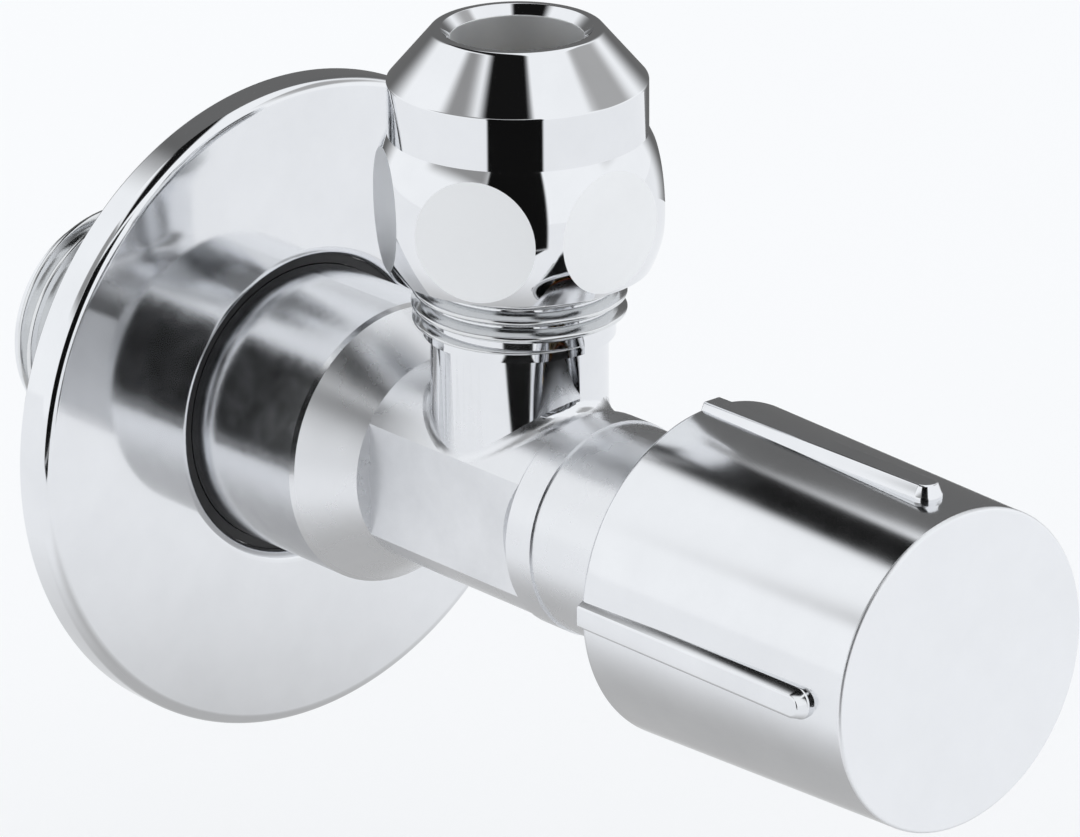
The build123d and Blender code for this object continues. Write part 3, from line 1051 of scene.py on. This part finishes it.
@dataclass
class Card:
    """A studio card with soft edges that shows only in reflections."""

    name: str
    corners: Sequence[Vector]
    shade: float
    soft_along: float
    soft_across: float

    def material(self) -> bpy.types.Material:
        """Make an even glow that fades out towards the card's edges.

        Returns:
            The card's material.
        """
        made = bpy.data.materials.new(self.name)
        made.use_nodes = True
        made.node_tree.nodes.clear()
        graph = Graph(made.node_tree)
        place = graph.add("ShaderNodeUVMap").outputs["UV"]
        parts = graph.add("ShaderNodeSeparateXYZ", {"Vector": place}).outputs
        fades = [
            graph.spread(graph.from_ends(part), (0.0, soft), (0.0, 1.0), interpolation_type="SMOOTHSTEP")
            for part, soft in ((parts["X"], self.soft_along), (parts["Y"], self.soft_across))
        ]
        glow = graph.add("ShaderNodeEmission", {"Color": (*(self.shade,) * 3, 1.0), "Strength": 1.0})
        clear = graph.add("ShaderNodeBsdfTransparent")
        mixed = graph.add(
            "ShaderNodeMixShader",
            {0: graph.math("MULTIPLY", *fades), 1: clear.outputs["BSDF"], 2: glow.outputs["Emission"]},
        )
        graph.add("ShaderNodeOutputMaterial", {"Surface": mixed.outputs["Shader"]})
        return made

    def build(self) -> None:
        """Make the card's face and keep it off the object."""
        work = bmesh.new()
        face = work.faces.new([work.verts.new(corner) for corner in self.corners])
        layer = work.loops.layers.uv.new("card")
        for loop, place in zip(face.loops, CARD_UV):
            loop[layer].uv = place
        card = new_piece(self.name, work)
        card.data.materials.append(self.material())
        card.visible_camera = False
        card.visible_diffuse = False
        card.visible_shadow = False


@dataclass
class Studio:
    """Pale floor, even light and the cards that the chrome mirrors."""

    outlet_x: float
    front_deg: float = -44.0
    floor_height: float = -60.0 * MM
    floor_size: float = 6.0
    floor_colour: Colour = (0.93, 0.93, 0.935)
    floor_mottle: float = 0.985
    card_lift: float = 1.0 * MM
    sky: Colour = (0.97, 0.985, 1.0)
    sky_strength: float = 1.06

    def floor(self) -> None:
        """Lay the floor, with a slight mottle and no gloss."""
        work = bmesh.new()
        half = self.floor_size / 2
        corners = [(-half, -half), (half, -half), (half, half), (-half, half)]
        work.faces.new([work.verts.new((x, y, self.floor_height)) for x, y in corners])
        ground = new_piece("studio_floor", work)
        light = self.floor_colour
        dark = tuple(self.floor_mottle * part for part in light)
        paper = Finish("studio_paper", "", light, dark, (0.7, 0.9), mottle_per_metre=3.0, specular=0.0)
        ground.data.materials.append(paper.material())

    def light(self) -> None:
        """Set the even sky and the plain view transform."""
        scene = bpy.context.scene
        scene.world = scene.world or bpy.data.worlds.new("studio_sky")
        scene.world.use_nodes = True
        sky = scene.world.node_tree.nodes["Background"]
        sky.inputs["Color"].default_value = (*self.sky, 1.0)
        sky.inputs["Strength"].default_value = self.sky_strength
        scene.view_settings.view_transform = "Standard"
        scene.view_settings.look = "None"

    def standing(
        self, name: str, azimuth_deg: float, away: float, half_width: float, rise: Point, **looks: float
    ) -> Card:
        """Card that stands around the outlet axis and faces it.

        Args:
            name: Name of the card.
            azimuth_deg: Direction from the axis, counted from +X towards +Y.
            away: Distance from the axis.
            half_width: Half its width.
            rise: Heights of its lower and upper edge.
            **looks: Shade and soft edges of the card.

        Returns:
            The card.
        """
        turn = math.radians(azimuth_deg)
        middle = Vector((self.outlet_x + away * math.cos(turn), away * math.sin(turn), 0))
        side = Vector((-math.sin(turn), math.cos(turn), 0)) * half_width
        low, high = (Vector((0, 0, height)) for height in rise)
        corners = [middle - side + low, middle + side + low, middle + side + high, middle - side + high]
        return Card(name, corners, **looks)

    def lying(
        self, name: str, ends: Sequence[Sequence[float]], half_widths: Point, height: float, **looks: float
    ) -> Card:
        """Level card along a line.

        Args:
            name: Name of the card.
            ends: Both ends of its middle line, in plan.
            half_widths: Half its width at each end.
            height: Height that it lies at.
            **looks: Shade and soft edges of the card.

        Returns:
            The card.
        """
        first, last = (Vector((*end, height)) for end in ends)
        side = Vector((0, 0, 1)).cross(last - first).normalized()
        near, far = side * half_widths[0], side * half_widths[1]
        return Card(name, [first - near, last - far, last + far, first + near], **looks)

    def cards(self) -> list[Card]:
        """Dark and grey cards, as the chrome of a product picture mirrors them.

        Returns:
            The cards around, over and under the valve.
        """
        front = math.radians(self.front_deg)
        out = Vector((math.cos(front), math.sin(front)))
        axis = Vector((self.outlet_x, 0))
        low = self.floor_height + self.card_lift
        return [
            self.standing(
                "front_card", azimuth_deg=self.front_deg, away=200.0 * MM, half_width=94.0 * MM,
                rise=(low, 200.0 * MM), shade=0.006, soft_along=0.06, soft_across=0.05,
            ),
            self.lying(
                "floor_card", ends=[axis + out * 160.0 * MM, axis + out * 215.0 * MM],
                half_widths=(24.0 * MM, 90.0 * MM), height=low,
                shade=0.006, soft_along=0.06, soft_across=0.08,
            ),
            self.lying(
                "overhead_card", ends=[(172.0 * MM, -141.0 * MM), (-330.0 * MM, 98.0 * MM)],
                half_widths=(84.0 * MM, 52.0 * MM), height=250.0 * MM,
                shade=0.008, soft_along=0.06, soft_across=0.2,
            ),
            self.standing(
                "back_card", azimuth_deg=142.0, away=220.0 * MM, half_width=300.0 * MM,
                rise=(-150.0 * MM, 340.0 * MM), shade=0.15, soft_along=0.3, soft_across=0.15,
            ),
            # Grey sheet under the valve that shows only in reflections: painted shade of the floor beneath
            # the valve, as the chrome mirrors it.
            self.lying(
                "under_card", ends=[(-90.0 * MM, 0.0), (120.0 * MM, 0.0)],
                half_widths=(90.0 * MM, 90.0 * MM), height=low, shade=0.50, soft_along=0.4, soft_across=0.4,
            ),
            self.standing(
                "left_card", azimuth_deg=-96.0, away=260.0 * MM, half_width=185.0 * MM,
                rise=(125.0 * MM, 430.0 * MM), shade=0.32, soft_along=0.22, soft_across=0.2,
            ),
            self.standing(
                "right_card", azimuth_deg=62.0, away=260.0 * MM, half_width=150.0 * MM,
                rise=(120.0 * MM, 360.0 * MM), shade=0.45, soft_along=0.35, soft_across=0.25,
            ),
        ]

    def build(self) -> None:
        """Lay the floor, light the room and hang the cards."""
        self.floor()
        self.light()
        for card in self.cards():
            card.build()


@dataclass
class PhotoCamera:
    """Camera at the photograph's viewing angle."""

    azimuth_deg: float = 48.23
    elevation_deg: float = 21.19
    roll_deg: float = -0.39
    distance: float = 542.29 * MM
    aim_right: float = 20.6 * MM
    aim_up: float = -1.97 * MM
    focal_pixels: float = 6727.0
    image_width: float = 1080.0
    sensor_mm: float = 36.0

    def build(self) -> None:
        """Place the camera and make it the scene's own."""
        azimuth, elevation = math.radians(self.azimuth_deg), math.radians(self.elevation_deg)
        level = math.cos(elevation)
        back = Vector((math.sin(azimuth) * level, -math.cos(azimuth) * level, math.sin(elevation)))
        flat_right = Vector((math.cos(azimuth), math.sin(azimuth), 0))
        flat_up = back.cross(flat_right)
        roll = math.radians(self.roll_deg)
        right = flat_right * math.cos(roll) + flat_up * math.sin(roll)
        up = flat_up * math.cos(roll) - flat_right * math.sin(roll)
        place = right * self.aim_right + up * self.aim_up + back * self.distance
        data = bpy.data.cameras.new("photo_camera")
        data.sensor_fit = "HORIZONTAL"
        data.sensor_width = self.sensor_mm
        data.lens = self.focal_pixels * self.sensor_mm / self.image_width
        camera = bpy.data.objects.new("photo_camera", data)
        turn = Matrix((right, up, back)).transposed().to_4x4()
        camera.matrix_world = Matrix.Translation(place) @ turn
        bpy.context.scene.collection.objects.link(camera)
        bpy.context.scene.camera = camera


def dress_frame() -> None:
    """Give each CAD node that stays on show its own finish."""
    for name, finish in CAD_FINISHES.items():
        node = frame["nodes"][name]
        node.data.materials.clear()
        node.data.materials.append(finish.material())
        LOG.info("%s keeps its solid, in %s", name, finish.name)


def main() -> None:
    """Build the valve piece by piece, then the studio and the camera."""
    logging.basicConfig(level=logging.INFO, format="%(message)s")
    nut_low, nut_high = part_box("compression_nut")
    plate_low, plate_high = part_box("escutcheon")
    knob_low, knob_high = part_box("handle")
    body_low, body_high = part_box("valve_body")
    insert_low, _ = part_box("handle_insert")
    outlet_x = (nut_low.x + nut_high.x) / 2
    mounts = {mount["name"]: mount for mount in frame["record"]["mounts"]}
    # What each end's thread leaves plain of the length from the origin.
    inlet_plain, outlet_plain = 1.7 * MM, 14.8 * MM
    inlet = ScrewThread(
        crest_radius=mounts["inlet_thread"]["dims"]["r_mm"] * MM, depth=1.162 * MM, pitch=1.814 * MM,
        start=0.7 * MM, length=-body_low.x - inlet_plain, phase_deg=170.0,
    )
    outlet = ScrewThread(
        crest_radius=8.331 * MM, depth=0.856 * MM, pitch=1.337 * MM,
        start=14.1 * MM, length=body_high.z - outlet_plain,
    )
    ValveBody(outlet_x, inlet, outlet).build()
    CompressionNut(
        outlet_x, bottom=nut_low.z, top=nut_high.z,
        ball_radius=(nut_high.y - nut_low.y) / 2, flats=nut_high.x - nut_low.x,
    ).build()
    Rosette(front=plate_high.x, radius=plate_high.y, back=plate_low.x).build()
    Knob(back=knob_low.x, end=knob_high.x, rib_top=knob_high.y, hub_start=insert_low.x).build()
    dress_frame()
    Studio(outlet_x).build()
    PhotoCamera().build()


if __name__ == "__main__":
    main()
